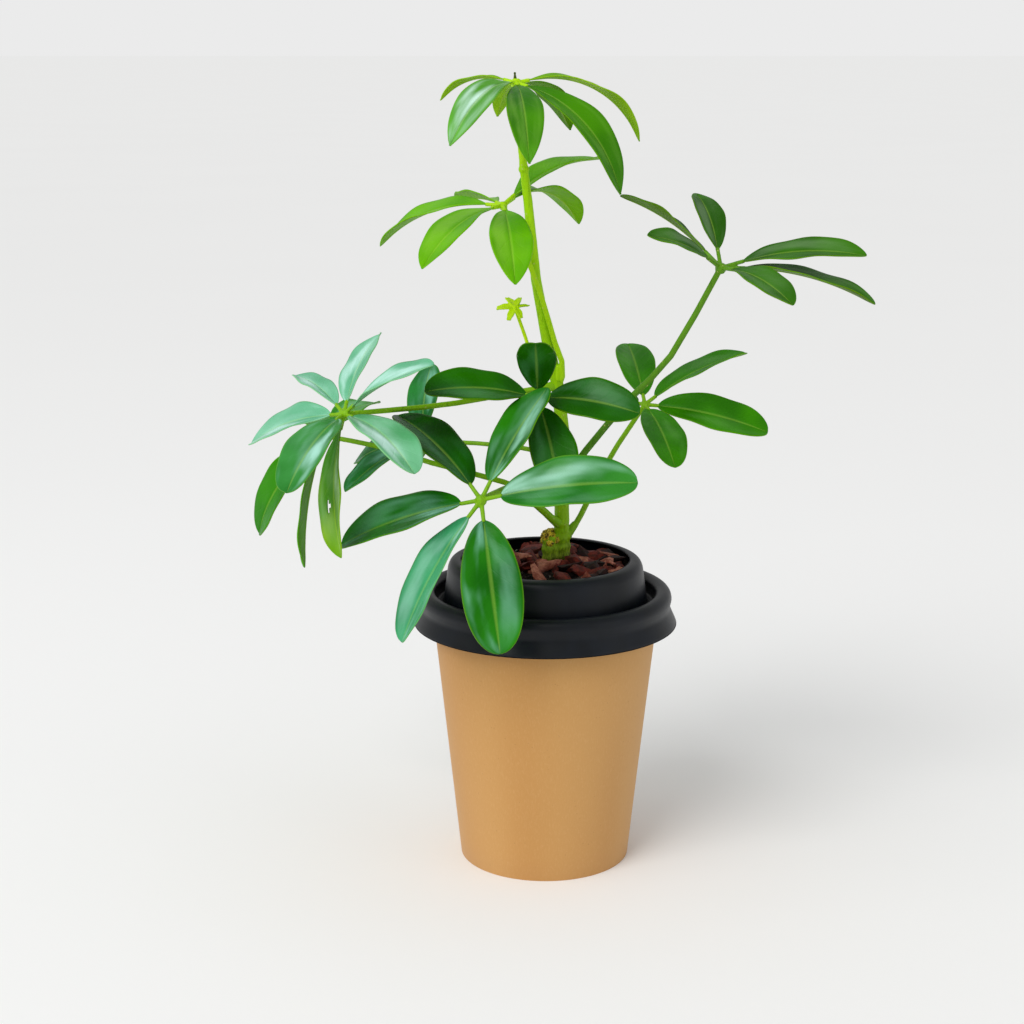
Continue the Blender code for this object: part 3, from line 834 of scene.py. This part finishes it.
def knotFinish():
    f = Finish("raggedCallus", Specular_IOR_Level=0.3)
    lumps = f.noise(1.3, 5, rough=0.7)
    fine = f.noise(0.5, 4)
    colour = f.mix(lumps.within(0.38, 0.58), tint("3a2606"), tint("d8bc28"))
    colour = f.mix(fine.within(0.55, 0.75) * 0.6, colour, tint("f4ea94"))
    return f.finish(colour, lumps * 0.2 + 0.55, lumps + fine * 0.5, 0.5)


def buildKnot():
    random.seed(5)
    stub = [v.co for v in stemCopy.verts if v.co.x < 1.0 * mm and v.co.z < 0.125]
    topZ = max(co.z for co in stub)
    stubY = (min(co.y for co in stub) + max(co.y for co in stub)) / 2
    centre = Vector((min(co.x for co in stub) + 2.4 * mm, stubY, topZ))
    bm = bmesh.new()
    for i in range(knotMake["lumps"]):
        angle, far = random.uniform(0, math.tau), random.uniform(0.3, 1.0) * knotMake["spread"] * mm
        spot = centre + Vector((math.cos(angle) * far, math.sin(angle) * far, random.uniform(-2.2, 1.0) * mm))
        addBall(bm, spot, random.uniform(*knotMake["lump"]) * mm, (1, 1, random.uniform(0.6, 1.3)))
    knot = smoothCopy(bm, "stub_callus", knotFinish(), 0.22, 1)
    swell(knot, lambda co: noise.noise(co * 1500) * 0.45 * mm)
    take(knot, "bark_mix")


def buildTip():
    # the shoot's own growing point, a small dark spear in the crown
    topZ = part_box("crown_leaf_stalk")[1].z
    crown = [v.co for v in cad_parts["crown_leaf_stalk"].data.vertices if v.co.z > topZ - 1.0 * mm]
    ahead = Vector((-0.05, -0.02, 1)).normalized()
    start = sum(crown, Vector()) / len(crown)
    start.z = topZ - 1.2 * mm
    bm = bmesh.new()
    addCone(bm, start, ahead, 0.75 * mm, 0.25 * mm, knotMake["tip"] * mm)
    addBall(bm, start + ahead * knotMake["tip"] * mm, 0.42 * mm)
    tip = smoothCopy(bm, "growing_tip", stemFinish("darkTip", "4a5c1c", "2c3410", "1a1c08"), 0.14, 2)
    take(tip, "green_stem")


buildKnot()
buildTip()
print("callus and tip made")


# ---- light, floor and camera

studio = {
    "paper": "ebebeb", "ambient": 0.56, "eye": (-11.2, -641.0, 270.0), "downwards": 13.2, "lens": 69.4,
}
# where each light stands, its strength, and its size: degrees for a sun, metres for a softbox
lights = {
    "key_sun": ("SUN", (-0.55, -0.75, 0.95), 1.5, 34, (1.0, 1.0, 0.98)),
    "window": ("AREA", (-0.75, -0.35, 0.75), 1.6, 0.6, (0.97, 1.0, 1.0)),
    "right_fill": ("AREA", (0.9, -0.5, 0.35), 0.6, 0.6, (1.0, 0.99, 0.97)),
}


def buildStudio():
    bm = bmesh.new()
    bmesh.ops.create_grid(bm, x_segments=2, y_segments=2, size=80.0)
    f = Finish("paleFloor", Specular_IOR_Level=0.0)
    grain = f.noise(400, 2)
    floor = keep(bm, "pale_floor", f.finish(f.mix(grain, tint("f6f6f6"), tint("f8f8f8")), 0.9))
    for name, (kind, spot, power, size, colour) in lights.items():
        lamp = bpy.data.lights.new(name, kind)
        lamp.energy = power
        lamp.color = colour
        if kind == "SUN":
            lamp.angle = math.radians(size)
        else:
            lamp.size = size
        holder = bpy.data.objects.new(name, lamp)
        holder.location = spot
        aim = Vector((0, 0, 0.15)) - Vector(spot)
        holder.rotation_euler = aim.to_track_quat("-Z", "Y").to_euler()
        bpy.context.scene.collection.objects.link(holder)

    # the room is paper white to the eye, and lights the object more softly
    world = bpy.data.worlds.new("paleRoom")
    world.use_nodes = True
    sky = world.node_tree.nodes["Background"]
    sky.inputs["Color"].default_value = tint(studio["paper"])
    seen = world.node_tree.nodes.new("ShaderNodeLightPath").outputs["Is Camera Ray"]
    blend = world.node_tree.nodes.new("ShaderNodeMix")
    blend.inputs[2].default_value = studio["ambient"] / tint(studio["paper"])[0]
    blend.inputs[3].default_value = 1.0
    world.node_tree.links.new(seen, blend.inputs[0])
    world.node_tree.links.new(blend.outputs[0], sky.inputs["Strength"])
    bpy.context.scene.world = world

    view = bpy.data.cameras.new("view")
    view.lens = studio["lens"]
    view.sensor_width = 36
    camera = bpy.data.objects.new("view", view)
    camera.location = Vector(studio["eye"]) * mm
    camera.rotation_euler = (math.radians(90 - studio["downwards"]), 0, 0)
    bpy.context.scene.collection.objects.link(camera)
    bpy.context.scene.camera = camera
    bpy.context.scene.view_settings.view_transform = "Standard"


buildStudio()
print("studio set")
